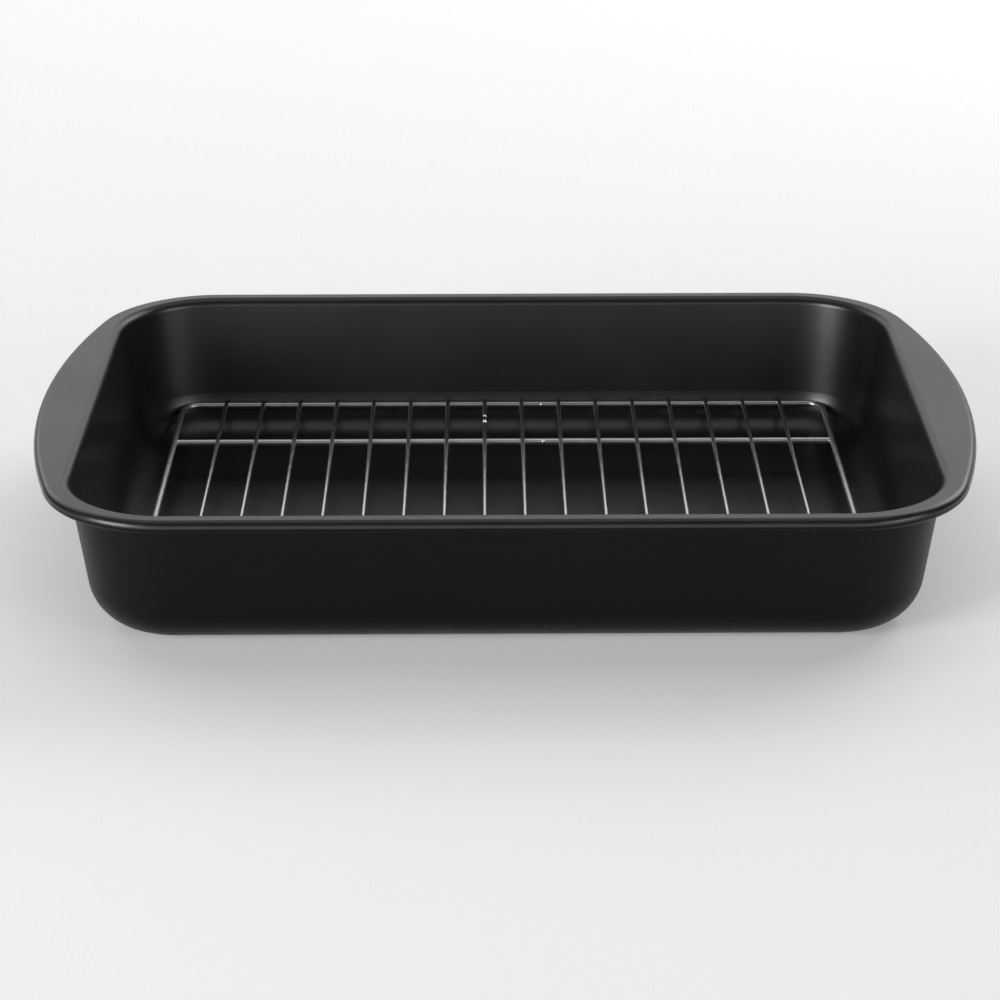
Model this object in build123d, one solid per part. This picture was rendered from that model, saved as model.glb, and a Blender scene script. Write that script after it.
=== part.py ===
from build123d import *
import math
import os

# Roasting pan with a lift-out wire rack, in millimetres.
# X runs along the pan from wing handle to wing handle, Y across it, Z up.
# The origin is on the table under the middle of the pan's flat base.
# The pan is one deep-drawn sheet of coated steel: drafted walls, a large bend into the floor,
# and a rim flange all round that widens into a wing handle at each short end and curls under.
# The rack is welded from wire: a closed frame, two supports in its plane and a row of cross wires on top.

# Pan
pan_length = 430.0  # over both wing handles
pan_width = 302.0  # over the flanges of the long sides
pan_height = 67.0
sheet = 0.9
wall_draft = 8.0  # degrees from upright
wing_reach = 24.4  # from the wall to the outer edge, at the middle of a wing
side_flange = 9.2  # from the wall to the outer edge, along a long side
wall_corner = 46.5  # plan radius of the wall's outer face at the rim
floor_bend = 22.0  # outer radius between wall and floor
rim_bend = 4.0  # upper radius between wall and flange
flange_corner = 57.0  # plan radius where a long side turns into a wing
wing_crown = 11.25  # a wing's outer edge falls back this far from its middle to the start of its corners
curl_radius = 3.0  # outer radius of the curled edge

# Rack
frame_wire = 3.0
support_wire = 3.0
cross_wire = 2.0
frame_corner = 8.0  # radius of the frame wire's centre line
rack_height = 14.0  # centre of the frame wire above the table
rack_end_gap = 16.6  # from the rack's seat line to the end walls
seat_clearance = 0.3  # between the frame's corners and the pan's corners
support_inset = 52.2  # from a long side of the frame to its support wire
cross_wires = 16
end_pitch_share = 1.16  # the first and last space between wires, as a share of the others
wire_setback = 0.7  # cross wires end this far inside the frame wire's outer side
wire_end_round = 0.3
weld_sink = 0.5  # crossing wires melt this far into each other

draft = math.radians(wall_draft)
wall_half_length = pan_length / 2 - wing_reach
wall_half_width = pan_width / 2 - side_flange


def skin_inset(height, gap):
    """Inset from the wall's rim outline to a surface that lies gap inside the pan's inner skin."""
    bend = floor_bend - sheet - gap
    if height < floor_bend - bend * math.sin(draft):
        centre = (pan_height - floor_bend) * math.tan(draft) + floor_bend / math.cos(draft)
        return centre - math.sqrt(bend ** 2 - (floor_bend - height) ** 2)
    return (pan_height - height) * math.tan(draft) + (sheet + gap) / math.cos(draft)


# The frame wire's centre line touches an inset copy of the pan's corners, so the rack sits on its corners.
seat_inset = skin_inset(rack_height, frame_wire / 2 + seat_clearance)
frame_half_length = wall_half_length - seat_inset - rack_end_gap
corner_reach = max(frame_half_length - frame_corner - (wall_half_length - wall_corner), 0)
corner_span = wall_corner - seat_inset - frame_corner
corner_rise = math.sqrt(corner_span ** 2 - corner_reach ** 2)
frame_half_width = frame_corner + wall_half_width - wall_corner + corner_rise
support_offset = frame_half_width - support_inset
support_height = rack_height + (frame_wire - support_wire) / 2
cross_height = rack_height + (frame_wire + cross_wire) / 2 - weld_sink
cross_length = 2 * (frame_half_width + frame_wire / 2 - wire_setback)
cross_pitch = 2 * frame_half_length / (cross_wires - 1 + 2 * end_pitch_share)


def rim_outline(inset):
    """The rim's plan outline, moved inwards, from the middle of the front side round to the same point."""
    corner_y = pan_width / 2 - flange_corner
    wing_arc = (corner_y ** 2 + wing_crown ** 2) / (2 * wing_crown)
    wing_centre = pan_length / 2 - wing_arc
    corner_x = wing_centre + math.sqrt((wing_arc - flange_corner) ** 2 - corner_y ** 2)
    turn = math.degrees(math.atan2(corner_y, corner_x - wing_centre))
    wing = wing_arc - inset
    corner = flange_corner - inset
    side = pan_width / 2 - inset
    pieces = [
        Line((0, -side), (corner_x, -side)),
        CenterArc((corner_x, -corner_y), corner, -90, 90 - turn),
        CenterArc((wing_centre, 0), wing, -turn, 2 * turn),
        CenterArc((corner_x, corner_y), corner, turn, 90 - turn),
        Line((corner_x, side), (-corner_x, side)),
        CenterArc((-corner_x, corner_y), corner, 90, 90 - turn),
        CenterArc((-wing_centre, 0), wing, 180 - turn, 2 * turn),
        CenterArc((-corner_x, -corner_y), corner, 180 + turn, 90 - turn),
        Line((-corner_x, -side), (0, -side)),
    ]
    return Wire(pieces)


def wall_block(inset, depth, bend):
    """A tapered block hung from the rim plane, with a rounded lower edge."""
    length = 2 * (wall_half_length - inset)
    width = 2 * (wall_half_width - inset)
    outline = Plane.XY.offset(pan_height) * RectangleRounded(length, width, wall_corner - inset)
    block = extrude(outline, amount=-depth, taper=wall_draft)
    return fillet(block.edges().group_by(Axis.Z)[0], bend)


def curled_edge():
    """The flange's outer edge, turned down and under in a half circle, swept round the rim."""
    centre = (0, curl_radius - pan_width / 2, pan_height - curl_radius)
    section_plane = Plane(origin=centre, x_dir=(0, -1, 0), z_dir=(-1, 0, 0))
    inner = curl_radius - sheet
    lines = [
        CenterArc((0, 0), curl_radius, -90, 180),
        Line((0, curl_radius), (0, inner)),
        CenterArc((0, 0), inner, -90, 180),
        Line((0, -inner), (0, -curl_radius)),
    ]
    section = section_plane * make_face(lines)
    path = rim_outline(curl_radius).moved(Location((0, 0, pan_height - curl_radius)))
    return sweep(section, path=path)


def on_skin(edge, height):
    """True for an edge at that height that lies on the wall rather than at the flange's outer edge."""
    box = edge.bounding_box()
    level = abs(box.min.Z - height) + abs(box.max.Z - height) < sheet / 10
    inside = box.max.X < wall_half_length + sheet and box.max.Y < wall_half_width + sheet
    return level and inside and box.min.X > -wall_half_length - sheet and box.min.Y > -wall_half_width - sheet


def make_pan():
    flange = extrude(Plane.XY.offset(pan_height) * make_face(rim_outline(curl_radius)), amount=-sheet)
    body = wall_block(0, pan_height, floor_bend) + flange
    body = fillet([e for e in body.edges() if on_skin(e, pan_height - sheet)], rim_bend - sheet)
    body -= wall_block(sheet / math.cos(draft), pan_height - sheet, floor_bend - sheet)
    body = fillet([e for e in body.edges() if on_skin(e, pan_height)], rim_bend)
    return body + curled_edge()


def wire_rod(length, diameter, direction):
    """A straight round wire centred on the origin, with slightly rounded ends."""
    rod = Cylinder(diameter / 2, length)
    rod = fillet(rod.edges().filter_by(GeomType.CIRCLE), wire_end_round)
    turn = {"X": Rotation(0, 90, 0), "Y": Rotation(90, 0, 0)}
    return turn[direction] * rod


def make_rack_frame():
    """One closed loop of wire with rounded corners."""
    x = frame_half_length
    y = frame_half_width
    r = frame_corner
    pieces = [
        Line((0, -y), (x - r, -y)),
        CenterArc((x - r, r - y), r, -90, 90),
        Line((x, r - y), (x, y - r)),
        CenterArc((x - r, y - r), r, 0, 90),
        Line((x - r, y), (r - x, y)),
        CenterArc((r - x, y - r), r, 90, 90),
        Line((-x, y - r), (-x, r - y)),
        CenterArc((r - x, r - y), r, 180, 90),
        Line((r - x, -y), (0, -y)),
    ]
    section = Plane(origin=(0, -y, 0), z_dir=(1, 0, 0)) * Circle(frame_wire / 2)
    return Pos(0, 0, rack_height) * sweep(section, path=Wire(pieces))


def make_supports(frame):
    """The two long wires in the frame's plane, with their ends welded into the frame's end wires."""
    length = 2 * (frame_half_length - frame_wire / 2 + weld_sink)
    rod = wire_rod(length, support_wire, "X")
    rear = Pos(0, support_offset, support_height) * rod - frame
    front = Pos(0, -support_offset, support_height) * rod - frame
    return rear, front


def make_cross_wires(frame, supports):
    """The row of wires on top, each seated in the four wires that it crosses."""
    wires = []
    for index in range(cross_wires):
        x = (index - (cross_wires - 1) / 2) * cross_pitch
        wire = Pos(x, 0, cross_height) * wire_rod(cross_length, cross_wire, "Y")
        for seat in (frame, *supports):
            wire -= seat
        wires.append(wire)
    return wires


rack_frame = make_rack_frame()
support_wires = make_supports(rack_frame)

nodes = {
    "pan_body": make_pan(),
    "rack_frame": rack_frame,
    "support_wire_rear": support_wires[0],
    "support_wire_front": support_wires[1],
}
for number, wire in enumerate(make_cross_wires(rack_frame, support_wires), start=1):
    nodes[f"cross_wire_{number:02d}"] = wire

os.makedirs("parts", exist_ok=True)
for name, shape in nodes.items():
    export_step(shape, f"parts/{name}.step")
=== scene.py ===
import math
import random

import bmesh
import bpy
from mathutils import Matrix, Vector


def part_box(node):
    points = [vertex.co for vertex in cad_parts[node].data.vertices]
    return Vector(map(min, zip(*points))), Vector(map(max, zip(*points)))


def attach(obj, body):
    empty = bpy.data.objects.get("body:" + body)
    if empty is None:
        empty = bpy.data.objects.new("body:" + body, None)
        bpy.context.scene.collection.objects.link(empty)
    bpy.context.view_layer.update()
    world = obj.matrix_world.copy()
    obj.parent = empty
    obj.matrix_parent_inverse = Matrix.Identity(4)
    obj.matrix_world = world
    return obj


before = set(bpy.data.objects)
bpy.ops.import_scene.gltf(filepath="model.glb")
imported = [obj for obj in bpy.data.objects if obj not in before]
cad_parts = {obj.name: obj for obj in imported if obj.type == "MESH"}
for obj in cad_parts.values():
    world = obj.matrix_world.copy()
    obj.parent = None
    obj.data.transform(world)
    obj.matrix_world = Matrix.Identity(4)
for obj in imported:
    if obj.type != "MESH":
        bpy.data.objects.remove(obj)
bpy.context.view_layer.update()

# Roasting pan with rack. Metres; X to the right in the photograph, Y away from the viewer, Z up.

WHITE = (1.0, 1.0, 1.0, 1.0)

# Camera, fitted to the photograph (angles in degrees)
VIEW_AZIMUTH = -0.269
VIEW_ELEVATION = 22.5
VIEW_ROLL = -0.127
VIEW_DISTANCE = 1.4035
VIEW_TARGET = Vector((-0.00213, 0.01657, 0.0074))
LENS = 105.74
SENSOR = 36.0

# Studio. The fill is the share of white that the camera and reflections see on the floor besides lamp light
FLOOR_RADIUS = 9.0
FLOOR_SEGMENTS = 96
FLOOR_COLOUR = (0.89, 0.89, 0.89, 1.0)
FLOOR_FILL = 0.15
WORLD_STRENGTH = 0.10
LIGHT_TARGET = Vector((0.0, 0.0, 0.03))
# name: azimuth from the viewer's side to the right, elevation, distance, width, height, radiance
SOFTBOXES = {
    "back_low": (180, 23, 2.4, 4.2, 1.1, 1.09),
    "back_high": (180, 50, 2.4, 3.4, 1.4, 0.19),
    "overhead": (180, 81, 2.2, 1.8, 1.2, 0.82),
    "front_low": (0, 7, 2.6, 2.2, 0.55, 1.22),
    "front_mid": (0, 20, 2.6, 2.2, 0.6, 0.52),
    "left_near": (-27, 7, 2.4, 0.8, 0.6, 1.9),
    "left_far": (-50, 14, 2.4, 1.1, 1.1, 10.9),
    "right_near": (28, 7, 2.4, 0.7, 0.6, 1.2),
    "right_far": (52, 14, 2.4, 1.3, 1.1, 3.0),
    "back_left": (-135, 35, 2.4, 1.6, 1.2, 1.43),
    "back_right": (135, 35, 2.4, 1.6, 1.2, 3.18),
}

# Noise values between which a finish goes from its first roughness to its second
CLOUD_LOW = 0.3
CLOUD_HIGH = 0.7

# Pan coating: glossier inside and on the rim than on the outer walls. The outer walls, which face a little
# down, also get a much darker colour: painted shade for the shadowed floor they reflect
INSIDE_DARK = (0.046, 0.046, 0.047, 1.0)
INSIDE_LIGHT = (0.056, 0.056, 0.057, 1.0)
INSIDE_ROUGHNESS = (0.29, 0.35)
# Painted shade: the outer walls' colour is several times darker than the inside's
PAINTED_SHADE_OUTSIDE_DARK = (0.0100, 0.0100, 0.0103, 1.0)
PAINTED_SHADE_OUTSIDE_LIGHT = (0.0130, 0.0130, 0.0134, 1.0)
OUTSIDE_ROUGHNESS = (0.42, 0.48)
COATING_METAL = 0.9
COATING_TURN = 0.08  # the two finishes blend where the surface's normal has a Z between minus this and this
COATING_CLOUDS = {"Scale": 18.0, "Detail": 4.0, "Roughness": 0.6}
COATING_PEEL = {"Scale": 900.0, "Detail": 2.0, "Roughness": 0.5}
COATING_BUMP = {"Strength": 0.12, "Distance": 0.0002}

# Chrome wire: the cross wires are polished, the frame and the supports are more satin. On the same plating,
# the frame's darker colour is painted shade and the supports' brighter colour is painted light
CHROME_DARK = (0.50, 0.505, 0.51, 1.0)
CHROME_LIGHT = (0.62, 0.625, 0.63, 1.0)
CHROME_ROUGHNESS = (0.20, 0.26)
# Painted shade: the frame wire's plating is made darker than the cross wires'
PAINTED_SHADE_FRAME_DARK = (0.46, 0.465, 0.47, 1.0)
PAINTED_SHADE_FRAME_LIGHT = (0.56, 0.565, 0.57, 1.0)
FRAME_ROUGHNESS = (0.29, 0.35)
# Painted light: the support wires' plating is made brighter than the cross wires'
PAINTED_LIGHT_SUPPORT_DARK = (0.60, 0.605, 0.61, 1.0)
PAINTED_LIGHT_SUPPORT_LIGHT = (0.70, 0.705, 0.71, 1.0)
SUPPORT_ROUGHNESS = (0.36, 0.42)
# The drops are smoother plating than the wires; their near-white colour is painted highlight
PAINTED_HIGHLIGHT_DROP_DARK = (0.84, 0.845, 0.85, 1.0)
PAINTED_HIGHLIGHT_DROP_LIGHT = (0.90, 0.905, 0.91, 1.0)
DROP_ROUGHNESS = (0.07, 0.09)
CHROME_METAL = 1.0
CHROME_CLOUDS = {"Scale": 160.0, "Detail": 3.0, "Roughness": 0.6}
CHROME_PITS = {"Scale": 1400.0, "Detail": 2.0, "Roughness": 0.5}
CHROME_BUMP = {"Strength": 0.008, "Distance": 0.00005}

# Every bead of metal is a closed form of this many rings and steps
BEAD_RINGS = 6
BEAD_STEPS = 16

# Welds on the rack. Sizes are half sizes along X, Y and Z
WELD_SEED = 11
CROSSING_SIZE = Vector((0.00125, 0.00130, 0.00055))
CROSSING_SPREAD = 0.14  # sizes differ by up to this share
CROSSING_CORNERS = 4  # the metal swells into the corners between two crossing wires
CROSSING_SWELL = 0.16
CROSSING_SHIFT = (0.00015, 0.0002)  # farthest from the true crossing, along X and Y
CROSSING_DEPTH = 0.0002  # under the top of the long wire
CROSSING_TURN = 0.2  # radians either way
BUTT_SIZE = Vector((0.00085, 0.00172, 0.00168))
BUTT_SPREAD = 0.07
BUTT_TURN = 0.1

# Drops of plating. Two lean to the front on top of one cross wire
DROP_WIRE = "cross_wire_08"
DROP_PLACES = (0.1048, 0.0968)
DROP_SIZE = Vector((0.00115, 0.00260, 0.00080))
DROP_RISE = 0.4  # above the wire's middle, as a share of its radius
DROP_LEAN = math.radians(24)
# One smaller drop hangs on the front of the frame's rear wire and one on the rear support
BURR_PLACE = 0.0196
BURR_SIZE = Vector((0.00105, 0.00095, 0.00095))
BURR_FORWARD = 0.82  # in front of the wire's middle, as a share of its radius
BURR_RISE = 0.22  # above it, as a share of its radius


def make_camera():
    """The photograph's camera: it looks at VIEW_TARGET from above the front side."""
    azimuth, elevation, roll = (math.radians(angle) for angle in (VIEW_AZIMUTH, VIEW_ELEVATION, VIEW_ROLL))
    level = Vector((-math.sin(azimuth), math.cos(azimuth), 0.0))
    forward = level * math.cos(elevation) - Vector((0.0, 0.0, math.sin(elevation)))
    right = forward.cross(Vector((0.0, 0.0, 1.0))).normalized()
    up = right.cross(forward)
    rolled_right = right * math.cos(roll) + up * math.sin(roll)
    rolled_up = up * math.cos(roll) - right * math.sin(roll)
    data = bpy.data.cameras.new("photo_camera")
    data.lens = LENS
    data.sensor_width = SENSOR
    camera = bpy.data.objects.new("photo_camera", data)
    turn = Matrix((rolled_right, rolled_up, -forward)).transposed().to_4x4()
    camera.matrix_world = Matrix.Translation(VIEW_TARGET - forward * VIEW_DISTANCE) @ turn
    bpy.context.scene.collection.objects.link(camera)
    bpy.context.scene.camera = camera


def new_material(name):
    """An empty node material: returns it, a helper that adds a node and one that links two sockets."""
    material = bpy.data.materials.new(name)
    material.use_nodes = True
    tree = material.node_tree
    tree.nodes.clear()

    def add(kind, **values):
        node = tree.nodes.new(kind)
        for key, value in values.items():
            if hasattr(node, key):
                setattr(node, key, value)
            else:
                node.inputs[key.replace("_", " ")].default_value = value
        return node

    return material, add, tree.links.new


def floor_material():
    """Matt and pale, with a little white added for camera, glossy and transmission rays."""
    material, add, link = new_material("studio_floor")
    surface = add("ShaderNodeBsdfDiffuse", Color=FLOOR_COLOUR)
    ray = add("ShaderNodeLightPath")
    seen = ray.outputs["Is Camera Ray"]
    for kind in ("Is Glossy Ray", "Is Transmission Ray"):
        either = add("ShaderNodeMath", operation="MAXIMUM")
        link(seen, either.inputs[0])
        link(ray.outputs[kind], either.inputs[1])
        seen = either.outputs[0]
    level = add("ShaderNodeMath", operation="MULTIPLY")
    level.inputs[1].default_value = FLOOR_FILL
    fill = add("ShaderNodeEmission", Color=WHITE)
    total = add("ShaderNodeAddShader")
    output = add("ShaderNodeOutputMaterial")
    link(seen, level.inputs[0])
    link(level.outputs[0], fill.inputs["Strength"])
    link(surface.outputs[0], total.inputs[0])
    link(fill.outputs[0], total.inputs[1])
    link(total.outputs[0], output.inputs["Surface"])
    return material


def make_floor():
    """A plain pale disc on which the object stands."""
    mesh = bpy.data.meshes.new("studio_floor")
    shape = bmesh.new()
    bmesh.ops.create_circle(shape, cap_ends=True, segments=FLOOR_SEGMENTS, radius=FLOOR_RADIUS)
    shape.to_mesh(mesh)
    shape.free()
    floor = bpy.data.objects.new("studio_floor", mesh)
    bpy.context.scene.collection.objects.link(floor)
    mesh.materials.append(floor_material())


def make_world():
    """A faint even light from all sides."""
    world = bpy.data.worlds.new("studio_world")
    world.use_nodes = True
    background = world.node_tree.nodes["Background"]
    background.inputs["Color"].default_value = WHITE
    background.inputs["Strength"].default_value = WORLD_STRENGTH
    bpy.context.scene.world = world


def make_softbox(name, azimuth, elevation, distance, width, height, radiance):
    """A plain rectangular lamp that faces the object; its power follows from its radiance and area."""
    data = bpy.data.lights.new(name, "AREA")
    data.shape = "RECTANGLE"
    data.size = width
    data.size_y = height
    data.energy = radiance * math.pi * width * height
    lamp = bpy.data.objects.new(name, data)
    turn, rise = math.radians(azimuth), math.radians(elevation)
    away = Vector((math.sin(turn) * math.cos(rise), -math.cos(turn) * math.cos(rise), math.sin(rise)))
    lamp.location = LIGHT_TARGET + away * distance
    lamp.rotation_euler = (-away).to_track_quat("-Z", "Y").to_euler()
    lamp.visible_camera = False
    bpy.context.scene.collection.objects.link(lamp)


def add_finish(add, link, clouds, dark, light, roughness):
    """A colour and a roughness that drift with the clouds: returns the two sockets."""
    shade = add("ShaderNodeMix", data_type="RGBA")
    shade.inputs["A"].default_value = dark
    shade.inputs["B"].default_value = light
    gloss = add("ShaderNodeMapRange", From_Min=CLOUD_LOW, From_Max=CLOUD_HIGH)
    gloss.inputs["To Min"].default_value, gloss.inputs["To Max"].default_value = roughness
    link(clouds.outputs["Fac"], shade.inputs["Factor"])
    link(clouds.outputs["Fac"], gloss.inputs["Value"])
    return shade.outputs["Result"], gloss.outputs["Result"]


def add_surface(add, link, place, metallic, finish, grain, relief):
    """The metal shader with its finish and a fine bump, up to the material's output."""
    texture = add("ShaderNodeTexNoise", **grain)
    bump = add("ShaderNodeBump", **relief)
    surface = add("ShaderNodeBsdfPrincipled", Metallic=metallic)
    output = add("ShaderNodeOutputMaterial")
    colour, roughness = finish
    link(place.outputs["Object"], texture.inputs["Vector"])
    link(texture.outputs["Fac"], bump.inputs["Height"])
    link(colour, surface.inputs["Base Color"])
    link(roughness, surface.inputs["Roughness"])
    link(bump.outputs["Normal"], surface.inputs["Normal"])
    link(surface.outputs[0], output.inputs["Surface"])


def coating_material():
    """Satin black coating: fine orange peel, cloudy gloss and shade, duller on the outer walls, and darker
    there as painted shade on the down-facing surfaces.
    """
    material, add, link = new_material("nonstick_coating")
    place = add("ShaderNodeTexCoord")
    clouds = add("ShaderNodeTexNoise", **COATING_CLOUDS)
    turned = add("ShaderNodeSeparateXYZ")
    upward_polish_and_shade = add("ShaderNodeMapRange", From_Min=-COATING_TURN, From_Max=COATING_TURN)
    # Blends to the darker outer colour, painted shade, where the surface faces down
    side = add("ShaderNodeMix", data_type="RGBA")
    polish = add("ShaderNodeMix", data_type="FLOAT")
    link(place.outputs["Object"], clouds.inputs["Vector"])
    link(place.outputs["Normal"], turned.inputs["Vector"])
    link(turned.outputs["Z"], upward_polish_and_shade.inputs["Value"])
    link(upward_polish_and_shade.outputs["Result"], side.inputs["Factor"])
    link(upward_polish_and_shade.outputs["Result"], polish.inputs["Factor"])
    for socket, dark, light, roughness in (
        ("A", PAINTED_SHADE_OUTSIDE_DARK, PAINTED_SHADE_OUTSIDE_LIGHT, OUTSIDE_ROUGHNESS),
        ("B", INSIDE_DARK, INSIDE_LIGHT, INSIDE_ROUGHNESS),
    ):
        shade, gloss = add_finish(add, link, clouds, dark, light, roughness)
        link(shade, side.inputs[socket])
        link(gloss, polish.inputs[socket])
    finish = (side.outputs["Result"], polish.outputs["Result"])
    add_surface(add, link, place, COATING_METAL, finish, COATING_PEEL, COATING_BUMP)
    return material


def chrome_material(name, dark, light, roughness):
    """Bright chrome plate with uneven polish and very fine pits."""
    material, add, link = new_material(name)
    place = add("ShaderNodeTexCoord")
    clouds = add("ShaderNodeTexNoise", **CHROME_CLOUDS)
    link(place.outputs["Object"], clouds.inputs["Vector"])
    finish = add_finish(add, link, clouds, dark, light, roughness)
    add_surface(add, link, place, CHROME_METAL, finish, CHROME_PITS, CHROME_BUMP)
    return material


def add_bead(shape, centre, half_size, swell=0.0, turn=0.0, lean=0.0):
    """A small rounded lump of metal; swell pushes it out between the axes, lean tips it to the front."""
    tip = Matrix.Rotation(lean, 3, "X")
    rows = []
    for ring in range(1, BEAD_RINGS):
        rise = math.pi * (ring / BEAD_RINGS - 0.5)
        row = []
        for step in range(BEAD_STEPS):
            angle = 2 * math.pi * step / BEAD_STEPS
            reach = math.cos(rise) * (1.0 - swell * math.cos(CROSSING_CORNERS * angle))
            offset = (math.cos(angle + turn) * reach, math.sin(angle + turn) * reach, math.sin(rise))
            row.append(shape.verts.new(centre + tip @ (Vector(offset) * half_size)))
        rows.append(row)
    low = shape.verts.new(centre - tip @ Vector((0.0, 0.0, half_size.z)))
    high = shape.verts.new(centre + tip @ Vector((0.0, 0.0, half_size.z)))
    for step in range(BEAD_STEPS):
        after = (step + 1) % BEAD_STEPS
        shape.faces.new((low, rows[0][after], rows[0][step]))
        shape.faces.new((high, rows[-1][step], rows[-1][after]))
        for below, above in zip(rows, rows[1:]):
            shape.faces.new((below[step], below[after], above[after], above[step]))


def finish_piece(name, shape, material):
    """Turns a bmesh into a smooth piece that rides on the rack."""
    mesh = bpy.data.meshes.new(name)
    shape.to_mesh(mesh)
    shape.free()
    mesh.polygons.foreach_set("use_smooth", [True] * len(mesh.polygons))
    mesh.materials.append(material)
    piece = bpy.data.objects.new(name, mesh)
    bpy.context.scene.collection.objects.link(piece)
    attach(piece, "rack")


def node_middle(name):
    """The middle of a CAD node's box, and half its size."""
    low, high = (Vector(corner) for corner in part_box(name))
    return (low + high) / 2, (high - low) / 2


def vary(draw, size, spread):
    """A bead's size, made larger or smaller by up to that share."""
    return size * draw.uniform(1 - spread, 1 + spread)


def make_welds(material):
    """The squeezed metal where wires cross, and where the supports butt into the frame."""
    draw = random.Random(WELD_SEED)
    shape = bmesh.new()
    frame_middle, frame_half = node_middle("rack_frame")
    wire_radius = frame_half.z
    supports = [node_middle(name)[0].y for name in ("support_wire_front", "support_wire_rear")]
    long_wires = [wire_radius - frame_half.y, *supports, frame_half.y - wire_radius]
    z = frame_middle.z + wire_radius - CROSSING_DEPTH
    for name in sorted(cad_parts):
        if not name.startswith("cross_wire"):
            continue
        x = node_middle(name)[0].x
        for y in long_wires:
            size = vary(draw, CROSSING_SIZE, CROSSING_SPREAD)
            shift_x, shift_y = (draw.uniform(-1, 1) * most for most in CROSSING_SHIFT)
            turn = draw.uniform(-CROSSING_TURN, CROSSING_TURN)
            add_bead(shape, Vector((x + shift_x, y + shift_y, z)), size, CROSSING_SWELL, turn)
    for y in supports:
        for side in (-1, 1):
            x = side * (frame_half.x - 2 * wire_radius)
            size = vary(draw, BUTT_SIZE, BUTT_SPREAD)
            turn = draw.uniform(-BUTT_TURN, BUTT_TURN)
            add_bead(shape, Vector((x, y, frame_middle.z)), size, turn=turn)
    finish_piece("weld_beads", shape, material)


def make_drops(material):
    """Drops of plating: two on top of a cross wire, one on the front of each rear long wire."""
    shape = bmesh.new()
    middle, half = node_middle(DROP_WIRE)
    for y in DROP_PLACES:
        centre = Vector((middle.x, y, middle.z + half.z * DROP_RISE))
        add_bead(shape, centre, DROP_SIZE, lean=DROP_LEAN)
    frame_middle, frame_half = node_middle("rack_frame")
    support_middle, support_half = node_middle("support_wire_rear")
    for y, z, radius in (
        (frame_half.y - frame_half.z, frame_middle.z, frame_half.z),
        (support_middle.y, support_middle.z, support_half.z),
    ):
        add_bead(shape, Vector((BURR_PLACE, y - radius * BURR_FORWARD, z + radius * BURR_RISE)), BURR_SIZE)
    finish_piece("plating_drops", shape, material)


def dress_nodes(finishes):
    """Gives every CAD node its finish, which is looked up by the start of the node's name."""
    for name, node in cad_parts.items():
        start = next(start for start in finishes if name.startswith(start))
        node.data.materials.clear()
        node.data.materials.append(finishes[start])


make_camera()
make_floor()
make_world()
for box_name, box in SOFTBOXES.items():
    make_softbox(box_name, *box)
chrome_plate = chrome_material("chrome_plate", CHROME_DARK, CHROME_LIGHT, CHROME_ROUGHNESS)
dress_nodes({
    "pan_body": coating_material(),
    "cross_wire": chrome_plate,
    # The frame's chrome carries painted shade and the supports' chrome carries painted light
    "rack_frame": chrome_material("chrome_frame_painted_shade", PAINTED_SHADE_FRAME_DARK, PAINTED_SHADE_FRAME_LIGHT, FRAME_ROUGHNESS),
    "support_wire": chrome_material("chrome_support_painted_light", PAINTED_LIGHT_SUPPORT_DARK, PAINTED_LIGHT_SUPPORT_LIGHT, SUPPORT_ROUGHNESS),
})
make_welds(chrome_plate)
# The drops' chrome is brighter than the wires': painted highlight
make_drops(chrome_material("chrome_drops_painted_highlight", PAINTED_HIGHLIGHT_DROP_DARK, PAINTED_HIGHLIGHT_DROP_LIGHT, DROP_ROUGHNESS))
bpy.context.scene.view_settings.view_transform = "Standard"
